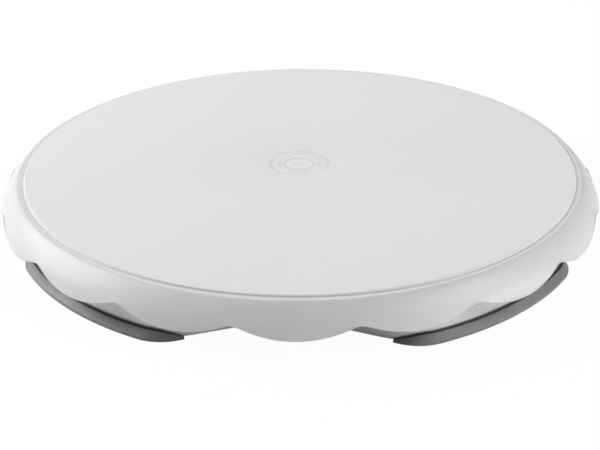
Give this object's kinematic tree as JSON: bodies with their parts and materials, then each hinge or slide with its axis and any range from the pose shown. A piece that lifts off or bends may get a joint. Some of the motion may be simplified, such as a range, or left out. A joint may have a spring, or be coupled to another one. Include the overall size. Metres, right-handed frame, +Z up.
{
  "type": "cake turntable",
  "caption": "Round cake decorating turntable: flat plate with a scalloped skirt turning on a four-lobed base with soft grip feet.",
  "frame": {"origin": "on the turning axis, at the table surface under the feet", "axes": "+Z up along the turning axis; -Y is the front, midway between two grips of the base; +X to the right"},
  "size_m": [0.3304, 0.3302, 0.0318],
  "materials": {
    "plate_plastic": "glossy white skirt with a fine matt texture on the flat disc",
    "cap_plastic": "satin white, moulded rings",
    "base_plastic": "satin white",
    "grip_rubber": "dark grey soft-touch rubber, fine matt grain",
    "race_steel": "turned steel",
    "ball_steel": "polished steel",
    "hardware_steel": "zinc plated",
    "bearing_nylon": "natural nylon"
  },
  "bodies": {
    "base": {"base_shell": "base_plastic", "grip_front_left": "grip_rubber", "grip_front_right": "grip_rubber", "grip_rear_left": "grip_rubber", "grip_rear_right": "grip_rubber", "lower_race": "race_steel", "lower_race_screw_1": "hardware_steel", "lower_race_screw_2": "hardware_steel", "lower_race_screw_3": "hardware_steel", "lower_race_screw_4": "hardware_steel", "bushing": "bearing_nylon", "thrust_washer": "bearing_nylon"},
    "turntable": {"top_plate": "plate_plastic", "centre_cap": "cap_plastic", "spindle": "hardware_steel", "spindle_screw": "hardware_steel", "retaining_clip": "hardware_steel", "upper_race": "race_steel", "upper_race_screw_1": "hardware_steel", "upper_race_screw_2": "hardware_steel", "upper_race_screw_3": "hardware_steel", "upper_race_screw_4": "hardware_steel"},
    "cage": {"ball_cage": "bearing_nylon"},
    "ball_01": {"ball_01": "ball_steel"},
    "ball_02": {"ball_02": "ball_steel"},
    "ball_03": {"ball_03": "ball_steel"},
    "ball_04": {"ball_04": "ball_steel"},
    "ball_05": {"ball_05": "ball_steel"},
    "ball_06": {"ball_06": "ball_steel"},
    "ball_07": {"ball_07": "ball_steel"},
    "ball_08": {"ball_08": "ball_steel"},
    "ball_09": {"ball_09": "ball_steel"},
    "ball_10": {"ball_10": "ball_steel"},
    "ball_11": {"ball_11": "ball_steel"},
    "ball_12": {"ball_12": "ball_steel"}
  },
  "joints": [
    {"name": "plate_spin", "type": "hinge", "parent": "base", "child": "turntable", "pos_m": [0, 0, 0.0318], "axis": [0, 0, 1], "continuous": true},
    {"name": "cage_spin", "type": "hinge", "parent": "base", "child": "cage", "pos_m": [0, 0, 0.022], "axis": [0, 0, 1], "continuous": true},
    {"name": "ball_01_spin", "type": "hinge", "parent": "cage", "child": "ball_01", "pos_m": [0.05796, 0.01553, 0.022], "axis": [0.9659, 0.2588, 0], "continuous": true},
    {"name": "ball_02_spin", "type": "hinge", "parent": "cage", "child": "ball_02", "pos_m": [0.04243, 0.04243, 0.022], "axis": [0.7071, 0.7071, 0], "continuous": true},
    {"name": "ball_03_spin", "type": "hinge", "parent": "cage", "child": "ball_03", "pos_m": [0.01553, 0.05796, 0.022], "axis": [0.2588, 0.9659, 0], "continuous": true},
    {"name": "ball_04_spin", "type": "hinge", "parent": "cage", "child": "ball_04", "pos_m": [-0.01553, 0.05796, 0.022], "axis": [-0.2588, 0.9659, 0], "continuous": true},
    {"name": "ball_05_spin", "type": "hinge", "parent": "cage", "child": "ball_05", "pos_m": [-0.04243, 0.04243, 0.022], "axis": [-0.7071, 0.7071, 0], "continuous": true},
    {"name": "ball_06_spin", "type": "hinge", "parent": "cage", "child": "ball_06", "pos_m": [-0.05796, 0.01553, 0.022], "axis": [-0.9659, 0.2588, 0], "continuous": true},
    {"name": "ball_07_spin", "type": "hinge", "parent": "cage", "child": "ball_07", "pos_m": [-0.05796, -0.01553, 0.022], "axis": [-0.9659, -0.2588, 0], "continuous": true},
    {"name": "ball_08_spin", "type": "hinge", "parent": "cage", "child": "ball_08", "pos_m": [-0.04243, -0.04243, 0.022], "axis": [-0.7071, -0.7071, 0], "continuous": true},
    {"name": "ball_09_spin", "type": "hinge", "parent": "cage", "child": "ball_09", "pos_m": [-0.01553, -0.05796, 0.022], "axis": [-0.2588, -0.9659, 0], "continuous": true},
    {"name": "ball_10_spin", "type": "hinge", "parent": "cage", "child": "ball_10", "pos_m": [0.01553, -0.05796, 0.022], "axis": [0.2588, -0.9659, 0], "continuous": true},
    {"name": "ball_11_spin", "type": "hinge", "parent": "cage", "child": "ball_11", "pos_m": [0.04243, -0.04243, 0.022], "axis": [0.7071, -0.7071, 0], "continuous": true},
    {"name": "ball_12_spin", "type": "hinge", "parent": "cage", "child": "ball_12", "pos_m": [0.05796, -0.01553, 0.022], "axis": [0.9659, -0.2588, 0], "continuous": true}
  ],
  "couplings": [
    {"joint": "cage_spin", "follows": "plate_spin", "ratio": 0.5},
    {"joint": "ball_01_spin", "follows": "plate_spin", "ratio": -12},
    {"joint": "ball_02_spin", "follows": "plate_spin", "ratio": -12},
    {"joint": "ball_03_spin", "follows": "plate_spin", "ratio": -12},
    {"joint": "ball_04_spin", "follows": "plate_spin", "ratio": -12},
    {"joint": "ball_05_spin", "follows": "plate_spin", "ratio": -12},
    {"joint": "ball_06_spin", "follows": "plate_spin", "ratio": -12},
    {"joint": "ball_07_spin", "follows": "plate_spin", "ratio": -12},
    {"joint": "ball_08_spin", "follows": "plate_spin", "ratio": -12},
    {"joint": "ball_09_spin", "follows": "plate_spin", "ratio": -12},
    {"joint": "ball_10_spin", "follows": "plate_spin", "ratio": -12},
    {"joint": "ball_11_spin", "follows": "plate_spin", "ratio": -12},
    {"joint": "ball_12_spin", "follows": "plate_spin", "ratio": -12}
  ]
}
